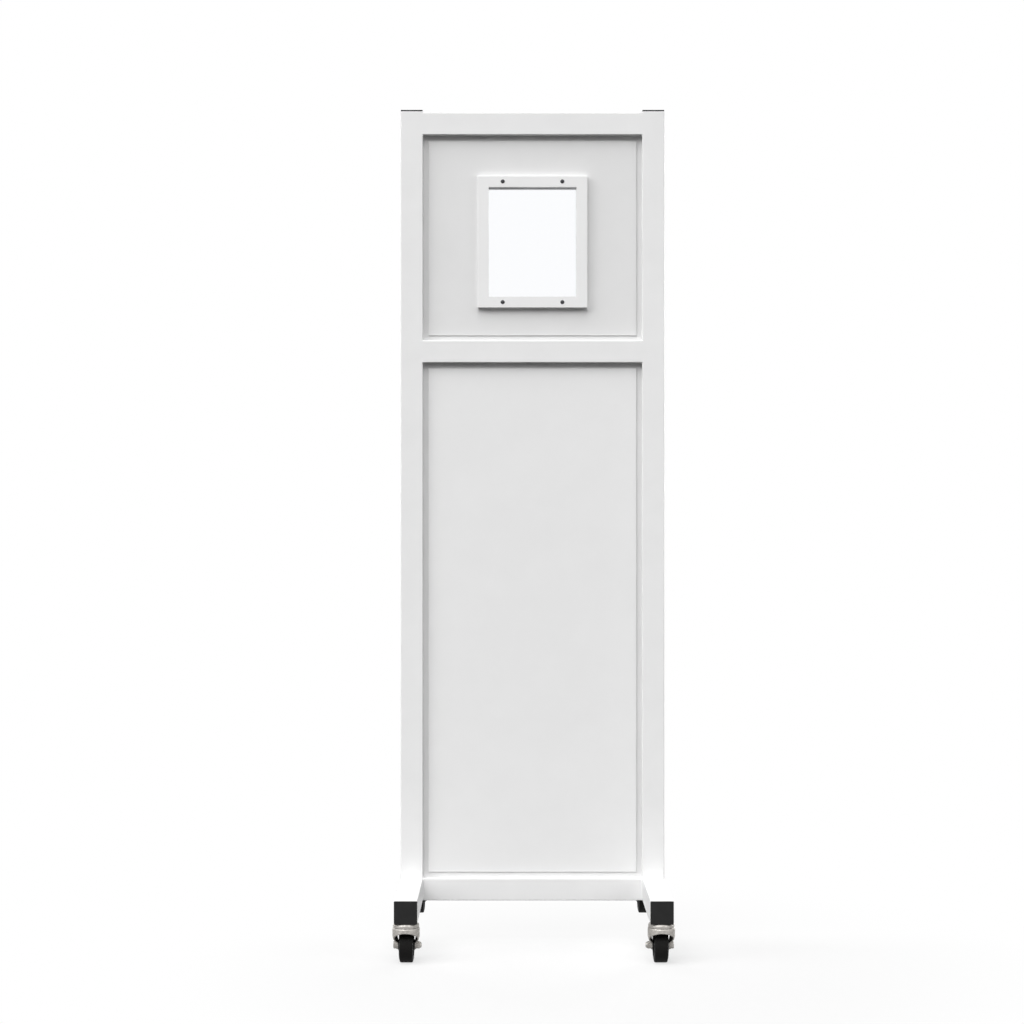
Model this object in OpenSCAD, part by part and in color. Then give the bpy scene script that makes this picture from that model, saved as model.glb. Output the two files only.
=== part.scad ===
// Mobile lead barrier: a radiation shield for a person to stand behind. Two lead-lined panels, the upper
// one with a lead glass window, fill a welded frame of square tube that rolls on four swivel casters.
// Sizes are in millimetres. The floor is z = 0, the front faces -Y, and the casters trail towards +Y.

/* [Frame] */
// Width over the two posts
frame_w = 609.6; // [560:0.1:900]
// Length of each leg over its two end caps
base_depth = 609.6; // [480:0.1:900]
// Height of the lower opening
lower_opening_h = 1193.8; // [800:0.1:1500]
// Height of the upper opening, which takes the window
upper_opening_h = 476.2; // [410:0.1:700]
// How far the posts stand above the top rail
post_rise = 3.2; // [0:0.1:12]
// Side of the square tube
tube_w = 50.8; // [46:0.1:56]
// Wall of the square tube
tube_wall = 1.6; // [1.4:0.1:4]
// Outer corner radius of the square tube
tube_corner_r = 1.8; // [1.7:0.1:6]
// How far the ground weld of a tube's end runs over the rounded edge that it meets
weld_reach = 1.4; // [0.8:0.1:1.6]

/* [Tube caps] */
// Thickness of a cap's head, which shows outside the tube
cap_head_t = 3.2; // [2:0.1:4]
// Rounding of the head's outer edge
cap_edge_r = 0.6; // [0.3:0.1:1.2]
// Depth of the plug inside the tube
cap_plug_depth = 9.5; // [6:0.5:10]
// Wall of the plug
cap_plug_wall = 2; // [1.2:0.1:3]
// Height of the fins that grip the tube
cap_fin_h = 1.2; // [0.6:0.1:1.6]
// Thickness of a fin
cap_fin_t = 1.4; // [1:0.1:2]

/* [Panels] */
// Width of the channel that lines each opening
channel_w = 25.4; // [20:0.1:32]
// Depth of the channel from front to back
channel_depth = 15.9; // [14.5:0.1:20]
// Wall of the channel
channel_wall = 1.9; // [1.2:0.1:2.5]
// Width of the channel left bare round a panel face
panel_border = 12.7; // [6:0.1:18]
// Thickness of a panel skin
skin_t = 3.2; // [1.5:0.1:5]
// Thickness of the lead sheet
lead_t = 1.6; // [0.8:0.1:3.2]

/* [Window] */
// Width of the glass that shows
window_w = 203.2; // [150:0.1:280]
// Height of the glass that shows
window_h = 254; // [180:0.1:300]
// Face width of the window frame
window_border = 25.4; // [24:0.1:34]
// How far the window frame stands out from the panel face
window_frame_t = 12.7; // [8:0.1:14]
// Distance from the top rail to the top of the window frame
window_drop = 95.3; // [30:0.1:110]
// Thickness of the lead glass
glass_t = 9; // [6:0.1:11]
// How far the glass reaches behind the window frame
glass_bite = 5; // [3:0.1:6]
// Wall of the rubber gasket round the glass
gasket_t = 2; // [1.5:0.1:2.4]
// Shank diameter of a window screw
screw_d = 4.2; // [3:0.1:4.6]
// Head diameter of a window screw
screw_head_d = 9.5; // [8:0.1:12]
// Head height of a window screw
screw_head_h = 2.4; // [1.6:0.1:3]
// Outer diameter of the sleeve nut behind a window screw
sleeve_d = 6.4; // [5.8:0.1:7]
// Distance between the screw columns
screw_column_pitch = 138; // [90:0.1:180]

/* [Caster wheels] */
// Diameter of a wheel over its tyre
wheel_d = 76.2; // [70:0.1:90]
// Width of the tyre at its foot
wheel_w = 32; // [28:0.1:33]
// Width of the tyre at its tread
tread_w = 29; // [22:0.1:31]
// Corner radius of the tread
tread_corner_r = 3; // [1:0.1:4]
// Outer diameter of the wheel's rim, which carries the tyre
rim_d = 59; // [52:0.1:62]
// Radial thickness of the rim
rim_t = 3.6; // [2.5:0.1:5]
// Thickness of the web between hub and rim
web_t = 6; // [4:0.1:10]
// Diameter of the hub
hub_d = 24; // [18:0.1:28]
// Thickness of a web rib
rib_t = 2.4; // [1.5:0.1:4]
// Number of web ribs
rib_count = 8; // [5:1:12]
// Diameter of the axle bolt
axle_d = 9.5; // [8:0.1:11]
// Width across the flats of the bolt's head and of its nut
axle_hex_af = 14.3; // [14:0.1:17]
// Height of the bolt's hexagon
axle_head_h = 6.2; // [5:0.1:8]
// Diameter of the flange under the bolt's head
axle_flange_d = 18; // [16:0.1:22]
// Thickness of the flange under the bolt's head
axle_flange_t = 2; // [1:0.1:3]
// Height of the nut's hexagon
axle_nut_h = 8.4; // [7:0.1:10]
// Height of the locking collar on the nut
axle_collar_h = 2.8; // [1.5:0.1:4]
// Length of bolt that shows past the nut
axle_tip = 1; // [0.5:0.1:2]

/* [Caster forks] */
// Distance from a leg's end to the caster stem
stem_inset = 25.4; // [24.5:0.1:60]
// Distance that the wheel trails behind the stem
trail = 25; // [18:0.1:32]
// Diameter of the fork's round crown
crown_d = 60; // [56:0.1:66]
// Thickness of the fork's plate
fork_t = 2.4; // [2:0.1:3]
// Outer radius of the crown's top edge
crown_corner_r = 4; // [3.2:0.1:5]
// Height of the crown's skirt at the front
crown_skirt_h = 9.6; // [7:0.1:12]
// Gap between the top of the wheel and the crown
wheel_top_gap = 4.6; // [4.2:0.1:8]
// Width inside the fork at the axle
fork_inner_w = 36.8; // [35.5:0.1:40]
// How far each leg of the fork spreads towards the crown
fork_flare = 2.5; // [0:0.1:3]
// Height above the axle's flange where a leg of the fork starts to spread
flare_start = 1; // [0.5:0.1:3]
// Height over which a leg of the fork spreads
flare_rise = 15; // [6:0.1:17]
// Radius of the fork's end round the axle
fork_end_r = 9.5; // [8.5:0.1:12]
// Height above the axle where the front edge of a leg starts to slant
fork_slant_rise = 5.7; // [3:0.1:8]
// Diameter of the caster stem
stem_d = 12.7; // [10:0.1:14]
// Length of stem above the race
stem_len = 25.4; // [18:0.1:36]
// Diameter of the head that holds the fork on the stem
stem_head_d = 22; // [18:0.1:24]
// Thickness of the head on the stem
stem_head_t = 3; // [2:0.1:3.4]
// Width across the flats of the nut inside the leg
stem_nut_af = 19; // [18:0.1:20]
// Height of the nut inside the leg
stem_nut_h = 11; // [8:0.1:14]
// Diameter of the pressed race above the crown
race_d = 57.5; // [54:0.1:60]
// Thickness of the race's plate
race_t = 2.4; // [1.8:0.1:3]
// Outer radius of the race's top edge
race_corner_r = 5; // [3.2:0.1:5.5]
// Diameter of a bearing ball
ball_d = 7.6; // [7:0.1:8]
// Diameter of the circle that the balls run on
ball_pitch_d = 38; // [36:0.1:40]
// Number of balls in a race
ball_count = 14; // [8:1:14]
// Depth of a ball track in each plate
track_depth = 0.6; // [0.3:0.1:0.8]

/* [Clearances] */
// Radial clearance of a pin or shaft in its bore
running_clear = 0.05; // [0.02:0.01:0.1]
// Clearance between a moving piece and its neighbour
moving_gap = 0.3; // [0.2:0.05:0.4]
// Clearance of a piece set into a recess or a tube
fit_gap = 0.2; // [0.1:0.05:0.3]
// Radial clearance of a bolt or sleeve in its hole
bolt_hole_clear = 0.15; // [0.1:0.05:0.3]

/* [Hidden] */
$fn = 64;
over = 1;                // how far a cutter runs past the face that it cuts
edge_ease = 0.8;         // flat broken on the edges of skins and window frames
fins_per_plug = 2;
cross_slot_w = 1.1;      // recess in a screw head
cross_slot_len = 5.4;
cross_slot_depth = 1.3;
stem_chamfer = 1.5;
bolt_chamfer = 0.6;      // at the tip of an axle bolt
hex_face = 0.95;         // turned face of a hexagon, as a share of its width across the flats
collar_ledge = 0.3;      // between that face of an axle nut and its collar
corner_steps = 6;        // straight steps in a quarter round
leg_flat_lead = 1;       // how far ahead of its round end a fork leg is flat already

axle_z = wheel_d / 2;
crown_r = crown_d / 2;
crown_under = wheel_d + wheel_top_gap;
crown_top = crown_under + fork_t;
skirt_z = crown_top - crown_skirt_h;
race_under = crown_top + ball_d - 2 * track_depth;
ball_z = (crown_top + race_under) / 2;
leg_z = race_under + race_t;                // underside of the legs
hub_len = fork_inner_w - 2 * moving_gap;
fork_outer_x = fork_inner_w / 2 + fork_t;   // outer face of a fork leg at the axle
knee_z = axle_z + axle_flange_d / 2 + flare_start;
waist_r = norm([fork_outer_x, trail - fork_end_r - leg_flat_lead]);
leg_rear_y = sqrt(crown_r * crown_r - pow(fork_inner_w / 2 + fork_flare, 2));  // where a leg leaves the crown

stem_x = frame_w / 2 - tube_w / 2;
stem_y = base_depth / 2 - stem_inset;
front_reach = max(base_depth / 2, stem_y + crown_r);
rear_reach = max(base_depth / 2, stem_y + crown_r, stem_y + trail + wheel_d / 2);
frame_y = (front_reach - rear_reach) / 2;   // puts the origin under the middle of the whole barrier

opening_w = frame_w - 2 * tube_w;
rail_len = opening_w + 2 * weld_reach;
post_bottom_z = leg_z + tube_w;
lower_opening_z = leg_z + tube_w;
middle_rail_z = lower_opening_z + lower_opening_h;
upper_opening_z = middle_rail_z + tube_w;
top_rail_z = upper_opening_z + upper_opening_h;
post_top_z = top_rail_z + tube_w + post_rise;

tube_inner_w = tube_w - 2 * tube_wall;
tube_inner_r = max(tube_corner_r - tube_wall, 0.5);
leg_tube_len = base_depth - 2 * cap_head_t;

core_w = opening_w - 2 * channel_w - 2 * fit_gap;
board_t = channel_depth - lead_t;
panel_face = channel_depth / 2 + skin_t;    // distance of a panel face from the middle plane
window_face = panel_face + window_frame_t;
window_z = top_rail_z - window_drop - window_border - window_h / 2;
pane_w = window_w + 2 * glass_bite;
pane_h = window_h + 2 * glass_bite;
gasket_w = pane_w + 2 * gasket_t;
gasket_h = pane_h + 2 * gasket_t;
gasket_depth = glass_t + 2 * gasket_t;
cutout_w = gasket_w + 2 * fit_gap;
cutout_h = gasket_h + 2 * fit_gap;
screw_row_pitch = window_h + window_border;
screw_hole_d = screw_d + 2 * bolt_hole_clear;
sleeve_hole_d = sleeve_d + 2 * bolt_hole_clear;
sleeve_len = window_face + channel_depth / 2;
screw_len = window_face + channel_depth / 2;

FRONT_LEFT = [-1, -1];
FRONT_RIGHT = [1, -1];
REAR_LEFT = [-1, 1];
REAR_RIGHT = [1, 1];
CORNERS = [FRONT_LEFT, FRONT_RIGHT, REAR_LEFT, REAR_RIGHT];

// A rectangle with round corners, centred on the origin
module rounded_rect(w, h, r) {
    square([w - 2 * r, h], center = true);
    square([w, h - 2 * r], center = true);
    for (sx = [-1, 1], sy = [-1, 1])
        translate([sx * (w / 2 - r), sy * (h / 2 - r)]) circle(r);
}

// Outside of a square tube of the given length, solid, standing on z = 0
module tube_envelope(length) {
    linear_extrude(length) rounded_rect(tube_w, tube_w, tube_corner_r);
}

// Square tube of the given length, standing on z = 0
module square_tube(length) {
    linear_extrude(length)
        difference() {
            rounded_rect(tube_w, tube_w, tube_corner_r);
            rounded_rect(tube_inner_w, tube_inner_w, tube_inner_r);
        }
}

// Cross section of a cap head, with its two outer corners rounded
module cap_head_section() {
    translate([-tube_w / 2, 0]) square([tube_w, cap_head_t - cap_edge_r]);
    translate([cap_edge_r - tube_w / 2, 0]) square([tube_w - 2 * cap_edge_r, cap_head_t]);
    for (s = [-1, 1])
        translate([s * (tube_w / 2 - cap_edge_r), cap_head_t - cap_edge_r]) circle(cap_edge_r);
}

// Plastic cap for a tube end at z = 0: the head above, a hollow finned plug below
module tube_cap() {
    fin_w = tube_inner_w - 2 * fit_gap;
    plug_w = fin_w - 2 * cap_fin_h;
    intersection() {
        linear_extrude(cap_head_t) rounded_rect(tube_w, tube_w, tube_corner_r);
        rotate([90, 0, 0]) linear_extrude(tube_w + over, center = true) cap_head_section();
        rotate([90, 0, 90]) linear_extrude(tube_w + over, center = true) cap_head_section();
    }
    difference() {
        translate([0, 0, -cap_plug_depth]) {
            linear_extrude(cap_plug_depth) rounded_rect(plug_w, plug_w, tube_inner_r);
            for (i = [0 : fins_per_plug - 1])
                translate([0, 0, i * cap_plug_depth / fins_per_plug + cap_fin_t])
                    linear_extrude(cap_fin_t) rounded_rect(fin_w, fin_w, tube_inner_r);
        }
        translate([0, 0, -cap_plug_depth - over])
            linear_extrude(cap_plug_depth + over)
                rounded_rect(plug_w - 2 * cap_plug_wall, plug_w - 2 * cap_plug_wall, tube_inner_r);
    }
}

// Outside of both posts, solid
module post_envelopes() {
    for (side = [-1, 1])
        translate([side * stem_x, frame_y, post_bottom_z]) tube_envelope(post_top_z - post_bottom_z);
}

// Turns a tube that stands on z = 0 into a leg
module as_leg(side) {
    translate([side * stem_x, frame_y - leg_tube_len / 2, leg_z + tube_w / 2])
        rotate([-90, 0, 0]) children();
}

// Outside of both legs, solid
module leg_envelopes() {
    for (side = [-1, 1]) as_leg(side) tube_envelope(leg_tube_len);
}

// Turns a tube that stands on z = 0 into a rail with the given underside
module as_rail(z) {
    translate([-rail_len / 2, frame_y, z + tube_w / 2]) rotate([0, 90, 0]) children();
}

// A rail whose ends carry the weld over the rounded edges of the tubes that they meet
module rail(z) {
    as_rail(z) square_tube(rail_len);
}

// A post whose foot carries the weld over the rounded edges of its leg
module post(side) {
    foot_z = post_bottom_z - weld_reach;
    difference() {
        translate([side * stem_x, frame_y, foot_z]) square_tube(post_top_z - foot_z);
        leg_envelopes();
        as_rail(leg_z) tube_envelope(rail_len);
    }
}

module post_cap(side) {
    translate([side * stem_x, frame_y, post_top_z]) tube_cap();
}

// A leg lies from front to back, with a hole for each caster stem in its lower wall
module leg(side) {
    difference() {
        as_leg(side) square_tube(leg_tube_len);
        for (end = [-1, 1])
            translate([side * stem_x, frame_y + end * stem_y, leg_z - over])
                cylinder(d = stem_d + 2 * bolt_hole_clear, h = tube_wall + 2 * over);
    }
}

module leg_cap(corner) {
    translate([corner[0] * stem_x, frame_y + corner[1] * leg_tube_len / 2, leg_z + tube_w / 2])
        rotate([-corner[1] * 90, 0, 0]) tube_cap();
}

// A plate in the X-Z plane whose front edges are broken. Its back lies on y = 0, and it faces -Y
module eased_plate(w, h, t) {
    intersection() {
        linear_extrude(h, center = true)
            polygon([[-w / 2, 0], [-w / 2, edge_ease - t], [edge_ease - w / 2, -t],
                     [w / 2 - edge_ease, -t], [w / 2, edge_ease - t], [w / 2, 0]]);
        rotate([90, 0, 90]) linear_extrude(w + over, center = true)
            polygon([[0, -h / 2], [edge_ease - t, -h / 2], [-t, edge_ease - h / 2],
                     [-t, h / 2 - edge_ease], [edge_ease - t, h / 2], [0, h / 2]]);
    }
}

// A block centred in X and Z, with its depth given from front to back
module slab(w, h, front, back) {
    translate([-w / 2, front, -h / 2]) cube([w, back - front, h]);
}

// Puts a piece of the upper or lower panel at the middle of its opening
module in_opening(z, h) {
    translate([0, frame_y, z + h / 2]) children();
}

// Steel channel that lines an opening, with its open side against the tubes
module opening_channel(h) {
    inner_w = opening_w - 2 * channel_w;
    inner_h = h - 2 * channel_w;
    groove = channel_depth / 2 - channel_wall;
    difference() {
        slab(opening_w, h, -channel_depth / 2, channel_depth / 2);
        slab(inner_w, inner_h, -channel_depth, channel_depth);
        difference() {
            slab(opening_w + over, h + over, -groove, groove);
            slab(inner_w + 2 * channel_wall, inner_h + 2 * channel_wall, -channel_depth, channel_depth);
        }
    }
}

module front_skin(h) {
    translate([0, -channel_depth / 2, 0])
        eased_plate(opening_w - 2 * panel_border, h - 2 * panel_border, skin_t);
}

module core_height_slab(h, front, back) {
    slab(core_w, h - 2 * channel_w - 2 * fit_gap, front, back);
}

module lead_sheet(h) {
    core_height_slab(h, -channel_depth / 2, lead_t - channel_depth / 2);
}

module core_board(h) {
    core_height_slab(h, channel_depth / 2 - board_t, channel_depth / 2);
}

// Turns a piece that was made for the front into its twin at the back
module rear_twin() {
    mirror([0, 1, 0]) children();
}

// Puts a piece at the middle of the window
module at_window() {
    translate([0, frame_y, window_z]) children();
}

// The places of the four window screws, with the axis pointing forward
module at_window_screws() {
    for (sx = [-1, 1], sz = [-1, 1])
        translate([sx * screw_column_pitch / 2, 0, sz * screw_row_pitch / 2]) rotate([90, 0, 0]) children();
}

// What the window takes out of the upper panel: the opening for the glass and the sleeve holes
module window_cuts() {
    at_window() {
        slab(cutout_w, cutout_h, -window_face, window_face);
        at_window_screws() cylinder(d = sleeve_hole_d, h = 2 * window_face, center = true);
    }
}

// One half of the window frame, with a tongue that reaches through the panel to the gasket
module window_frame(hole_d) {
    tongue_w = cutout_w - 2 * fit_gap;
    tongue_h = cutout_h - 2 * fit_gap;
    difference() {
        union() {
            translate([0, -panel_face, 0])
                eased_plate(window_w + 2 * window_border, window_h + 2 * window_border, window_frame_t);
            slab(tongue_w, tongue_h, -panel_face - over, -gasket_depth / 2);
        }
        slab(window_w, window_h, -window_face - over, 0);
        at_window_screws() cylinder(d = hole_d, h = 2 * window_face + over, center = true);
    }
}

// Domed head whose flat side lies on z = 0, with a cross recess
module dome_head() {
    dome_r = (screw_head_d * screw_head_d / 4 + screw_head_h * screw_head_h) / (2 * screw_head_h);
    difference() {
        intersection() {
            cylinder(d = screw_head_d, h = screw_head_h);
            translate([0, 0, screw_head_h - dome_r]) sphere(dome_r);
        }
        for (turn = [0, 90])
            rotate(turn)
                translate([-cross_slot_len / 2, -cross_slot_w / 2, screw_head_h - cross_slot_depth])
                    cube([cross_slot_len, cross_slot_w, cross_slot_depth + over]);
    }
}

// Mirrors and moves a caster to its corner. Inside it, the stem is the Z axis, +X is outboard
module caster_at(corner) {
    translate([corner[0] * stem_x, frame_y + corner[1] * stem_y, 0])
        mirror([corner[0] < 0 ? 1 : 0, 0, 0]) children();
}

// Puts a wheel piece, made round the Z axis, on the axle
module on_axle() {
    translate([0, trail, axle_z]) rotate([0, 90, 0]) children();
}

// Points of an arc round a centre, from one angle to another
function arc(centre, r, from, to, steps) =
    [for (i = [0 : steps]) let (a = from + (to - from) * i / steps) centre + r * [cos(a), sin(a)]];

// Upside-down cup with a rounded top edge, which draws in to a waist above its floor
module bell(r, low_r, floor_z, top_z, corner_r) {
    rotate_extrude()
        polygon(concat([[0, floor_z], [low_r, floor_z], [low_r, knee_z], [r, knee_z + flare_rise]],
                       arc([r - corner_r, top_z - corner_r], corner_r, 0, 90, corner_steps),
                       [[0, top_z]]));
}

// Ring track that balls of the given radius run in
module ball_track(r) {
    translate([0, 0, ball_z]) rotate_extrude() translate([ball_pitch_d / 2, 0]) circle(r);
}

// Front profile of the space between the fork legs, or of their outside, drawn from front to rear
module fork_slab(half_w, top_z, rear_y) {
    low_z = axle_z - fork_end_r - over;
    spread = half_w + fork_flare;
    translate([0, rear_y, 0]) rotate([90, 0, 0]) linear_extrude(rear_y)
        polygon([[-half_w, low_z], [half_w, low_z], [half_w, knee_z], [spread, knee_z + flare_rise],
                 [spread, top_z], [-spread, top_z], [-spread, knee_z + flare_rise], [-half_w, knee_z]]);
}

// Side outline of the fork: a round crown whose legs rake back to the axle
module fork_outline() {
    rotate([90, 0, 90]) linear_extrude(crown_d + 2 * over, center = true) {
        polygon([[-crown_r - over, crown_top + over], [-crown_r - over, skirt_z], [-crown_r, skirt_z],
                 [trail - fork_end_r, axle_z + fork_slant_rise], [trail - fork_end_r, axle_z],
                 [trail + fork_end_r, axle_z], [leg_rear_y, skirt_z],
                 [crown_r + over, skirt_z], [crown_r + over, crown_top + over]]);
        translate([trail, axle_z]) circle(fork_end_r);
    }
}

// What a leg may fill: the round of the crown above the skirt's edge, and all the rear below it
module leg_space() {
    translate([0, 0, skirt_z - over]) cylinder(r = crown_r, h = crown_top + over - skirt_z);
    translate([-crown_r, 0, 0]) cube([crown_d, trail + crown_r, skirt_z]);
}

// Pressed fork: the outside of crown and legs, less their inside, cut to the side outline
module fork_shape() {
    low_z = axle_z - fork_end_r - over;
    rear_y = trail + fork_end_r + over;
    difference() {
        intersection() {
            difference() {
                union() {
                    bell(crown_r, waist_r, low_z, crown_top, crown_corner_r);
                    intersection() {
                        fork_slab(fork_outer_x, crown_under + fork_t / 2, rear_y);
                        leg_space();
                    }
                }
                bell(crown_r - fork_t, waist_r - fork_t, low_z - over, crown_under, crown_corner_r - fork_t);
                fork_slab(fork_inner_w / 2, crown_under, rear_y + over);
            }
            fork_outline();
        }
        translate([0, 0, crown_under - over])
            cylinder(d = stem_d + 2 * running_clear, h = fork_t + 2 * over);
        ball_track(ball_d / 2 + moving_gap);
        on_axle() cylinder(d = axle_d + 2 * running_clear, h = crown_d, center = true);
    }
}

// Plain upside-down cup with a rounded top edge
module pressed_cup(r, floor_z, top_z, corner_r) {
    rotate_extrude()
        polygon(concat([[0, floor_z], [r, floor_z]],
                       arc([r - corner_r, top_z - corner_r], corner_r, 0, 90, corner_steps),
                       [[0, top_z]]));
}

// Pressed race that turns the balls' load into the leg
module race_shape() {
    difference() {
        pressed_cup(race_d / 2, crown_top + moving_gap, leg_z, race_corner_r);
        pressed_cup(race_d / 2 - race_t, crown_top - over, race_under, race_corner_r - race_t);
        cylinder(d = stem_d + 2 * running_clear, h = leg_z + over);
        ball_track(ball_d / 2 + running_clear);
    }
}

// Stem with a head under the crown and a chamfered top inside the leg
module stem_shape() {
    head_top = crown_under - moving_gap;
    top = leg_z + stem_len;
    translate([0, 0, head_top - stem_head_t]) cylinder(d = stem_head_d, h = stem_head_t);
    translate([0, 0, head_top]) cylinder(d = stem_d, h = top - stem_chamfer - head_top);
    translate([0, 0, top - stem_chamfer])
        cylinder(d1 = stem_d, d2 = stem_d - 2 * stem_chamfer, h = stem_chamfer);
}

// Hexagon with its upper corners turned off at 30 degrees
module hexagon(af, h) {
    intersection() {
        cylinder(d = af / cos(30), h = h, $fn = 6);
        cylinder(d1 = hex_face * af + 2 * h / tan(30), d2 = hex_face * af, h = h);
    }
}

module stem_nut_shape() {
    translate([0, 0, leg_z + tube_wall]) difference() {
        hexagon(stem_nut_af, stem_nut_h);
        translate([0, 0, -over]) cylinder(d = stem_d + 2 * running_clear, h = stem_nut_h + 2 * over);
    }
}

module axle_shape() {
    nut_end = fork_outer_x + axle_nut_h + axle_collar_h + axle_tip;
    on_axle() {
        translate([0, 0, -nut_end]) cylinder(d1 = axle_d - 2 * bolt_chamfer, d2 = axle_d, h = bolt_chamfer);
        translate([0, 0, bolt_chamfer - nut_end])
            cylinder(d = axle_d, h = nut_end - bolt_chamfer + fork_outer_x);
        translate([0, 0, fork_outer_x]) cylinder(d = axle_flange_d, h = axle_flange_t);
        translate([0, 0, fork_outer_x + axle_flange_t]) hexagon(axle_hex_af, axle_head_h);
    }
}

module axle_nut_shape() {
    collar_d = hex_face * axle_hex_af - 2 * collar_ledge;
    on_axle() mirror([0, 0, 1]) translate([0, 0, fork_outer_x]) difference() {
        union() {
            hexagon(axle_hex_af, axle_nut_h);
            translate([0, 0, axle_nut_h])
                cylinder(d1 = collar_d, d2 = collar_d - axle_collar_h / 4, h = axle_collar_h);
        }
        translate([0, 0, -over])
            cylinder(d = axle_d + 2 * running_clear, h = axle_nut_h + axle_collar_h + 2 * over);
    }
}

// Wheel body with a hub, a ribbed web and a rim
module wheel_shape() {
    rim_w = wheel_w - 2 * fit_gap;
    rim_inner_r = rim_d / 2 - rim_t;
    rib_w = rim_w - 2 * rim_t;
    on_axle() difference() {
        union() {
            cylinder(d = hub_d, h = hub_len, center = true);
            cylinder(r = rim_inner_r + rim_t / 2, h = web_t, center = true);
            difference() {
                cylinder(d = rim_d, h = rim_w, center = true);
                cylinder(r = rim_inner_r, h = rim_w + over, center = true);
            }
            for (i = [0 : rib_count - 1])
                rotate(i * 360 / rib_count)
                    translate([hub_d / 4, -rib_t / 2, -rib_w / 2])
                        cube([rim_inner_r + rim_t / 2 - hub_d / 4, rib_t, rib_w]);
        }
        cylinder(d = axle_d + 2 * running_clear, h = hub_len + over, center = true);
    }
}

// Tyre whose flanks narrow to a round-cornered tread
module tyre_shape() {
    foot_r = rim_d / 2 + running_clear;
    corner_r = wheel_d / 2 - tread_corner_r;
    corner_w = tread_w / 2 - tread_corner_r;
    on_axle() rotate_extrude()
        polygon(concat([[foot_r, -wheel_w / 2], [foot_r, wheel_w / 2]],
                       arc([corner_r, corner_w], tread_corner_r, 90, 0, corner_steps),
                       arc([corner_r, -corner_w], tread_corner_r, 0, -90, corner_steps)));
}

// Welded frame
module left_post() { color("whitesmoke") post(-1); }
module right_post() { color("whitesmoke") post(1); }
module top_rail() { color("whitesmoke") difference() { rail(top_rail_z); post_envelopes(); } }
module middle_rail() { color("whitesmoke") difference() { rail(middle_rail_z); post_envelopes(); } }
module bottom_rail() { color("whitesmoke") difference() { rail(leg_z); leg_envelopes(); } }
module left_leg() { color("whitesmoke") leg(-1); }
module right_leg() { color("whitesmoke") leg(1); }
module left_post_cap() { color("dimgray") post_cap(-1); }
module right_post_cap() { color("dimgray") post_cap(1); }
module front_left_leg_cap() { color("dimgray") leg_cap(FRONT_LEFT); }
module front_right_leg_cap() { color("dimgray") leg_cap(FRONT_RIGHT); }
module rear_left_leg_cap() { color("dimgray") leg_cap(REAR_LEFT); }
module rear_right_leg_cap() { color("dimgray") leg_cap(REAR_RIGHT); }

// Upper panel, cut out for the window
module upper_channel() {
    color("white") in_opening(upper_opening_z, upper_opening_h) opening_channel(upper_opening_h);
}
module upper_front_skin() {
    color("gainsboro") difference() {
        in_opening(upper_opening_z, upper_opening_h) front_skin(upper_opening_h);
        window_cuts();
    }
}
module upper_rear_skin() {
    color("gainsboro") difference() {
        in_opening(upper_opening_z, upper_opening_h) rear_twin() front_skin(upper_opening_h);
        window_cuts();
    }
}
module upper_lead_sheet() {
    color("slategray") difference() {
        in_opening(upper_opening_z, upper_opening_h) lead_sheet(upper_opening_h);
        window_cuts();
    }
}
module upper_core_board() {
    color("burlywood") difference() {
        in_opening(upper_opening_z, upper_opening_h) core_board(upper_opening_h);
        window_cuts();
    }
}

// Lower panel
module lower_channel() {
    color("white") in_opening(lower_opening_z, lower_opening_h) opening_channel(lower_opening_h);
}
module lower_front_skin() {
    color("gainsboro") in_opening(lower_opening_z, lower_opening_h) front_skin(lower_opening_h);
}
module lower_rear_skin() {
    color("gainsboro") in_opening(lower_opening_z, lower_opening_h) rear_twin() front_skin(lower_opening_h);
}
module lower_lead_sheet() {
    color("slategray") in_opening(lower_opening_z, lower_opening_h) lead_sheet(lower_opening_h);
}
module lower_core_board() {
    color("burlywood") in_opening(lower_opening_z, lower_opening_h) core_board(lower_opening_h);
}

// Window
module window_front_frame() { color("white") at_window() window_frame(screw_hole_d); }
module window_rear_frame() { color("white") at_window() rear_twin() window_frame(sleeve_hole_d); }
module glazing_gasket() {
    color("dimgray") at_window() difference() {
        slab(gasket_w, gasket_h, -gasket_depth / 2, gasket_depth / 2);
        slab(window_w, window_h, -gasket_depth, gasket_depth);
        slab(pane_w + running_clear, pane_h + running_clear, -glass_t / 2, glass_t / 2);
    }
}
module lead_glass() {
    color("lightcyan", 0.4) at_window() slab(pane_w, pane_h, -glass_t / 2, glass_t / 2);
}
module window_screws() {
    color("gray") at_window() at_window_screws() translate([0, 0, window_face]) {
        dome_head();
        translate([0, 0, -screw_len]) cylinder(d = screw_d, h = screw_len);
    }
}
module window_sleeve_nuts() {
    color("gray") at_window() at_window_screws() difference() {
        translate([0, 0, -window_face]) {
            mirror([0, 0, 1]) dome_head();
            cylinder(d = sleeve_d, h = sleeve_len);
        }
        translate([0, 0, -channel_depth / 2 - over])
            cylinder(d = screw_d + 2 * running_clear, h = window_face + channel_depth);
    }
}

// Caster pieces
module stem_nuts() { color("silver") for (corner = CORNERS) caster_at(corner) stem_nut_shape(); }
module swivel_balls() {
    color("silver") for (corner = CORNERS) caster_at(corner)
        for (i = [0 : ball_count - 1])
            rotate(i * 360 / ball_count) translate([ball_pitch_d / 2, 0, ball_z]) sphere(d = ball_d);
}
module stem(corner) { color("silver") caster_at(corner) stem_shape(); }
module race(corner) { color("silver") caster_at(corner) race_shape(); }
module fork(corner) { color("silver") caster_at(corner) fork_shape(); }
module axle(corner) { color("silver") caster_at(corner) axle_shape(); }
module axle_nut(corner) { color("silver") caster_at(corner) axle_nut_shape(); }
module wheel(corner) { color("darkslategray") caster_at(corner) wheel_shape(); }
module tyre(corner) { color("black") caster_at(corner) tyre_shape(); }

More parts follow.
